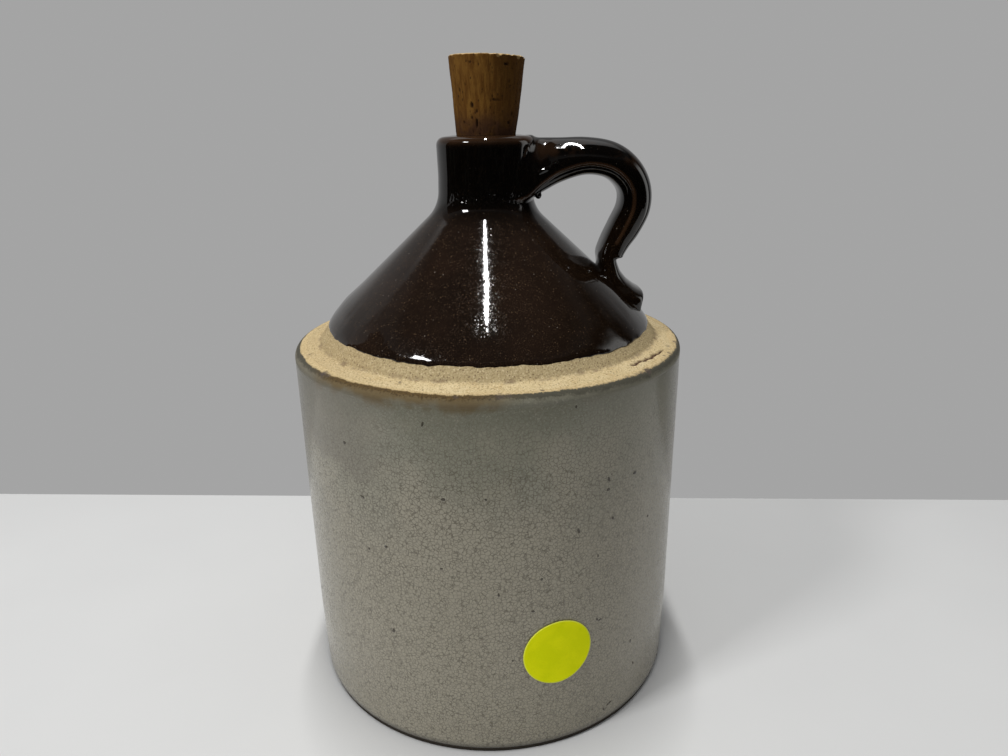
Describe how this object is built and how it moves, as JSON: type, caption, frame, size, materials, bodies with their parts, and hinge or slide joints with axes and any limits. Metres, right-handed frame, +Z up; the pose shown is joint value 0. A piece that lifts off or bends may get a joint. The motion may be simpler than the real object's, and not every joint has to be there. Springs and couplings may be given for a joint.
{
  "type": "stoneware jug",
  "caption": "Stoneware shoulder jug with a grey-glazed cylinder body, bare clay ledge, brown-glazed cone and neck, applied strap handle and a pull-out tapered cork stopper.",
  "frame": {"origin": "centre of the foot, on the surface the jug stands on", "axes": "+Z up along the body's axis, +X towards the handle, -Y towards the front that carries the price dot"},
  "size_m": [0.187, 0.187, 0.2991],
  "materials": {
    "grey_glaze": "glossy, finely crazed",
    "brown_glaze": "high gloss",
    "bare_clay": "matt, gritty",
    "cork": "matt, pitted",
    "yellow_paper": "matt"
  },
  "bodies": {
    "jug": {"jug_base": "grey_glaze", "jug_top": "brown_glaze", "handle": "brown_glaze", "price_dot": "yellow_paper"},
    "stopper": {"cork_stopper": "cork"}
  },
  "joints": [
    {"name": "stopper_pull", "type": "slide", "parent": "jug", "child": "stopper", "axis": [0.031, 0, 0.9995], "range_m": [0, 0.06]}
  ]
}
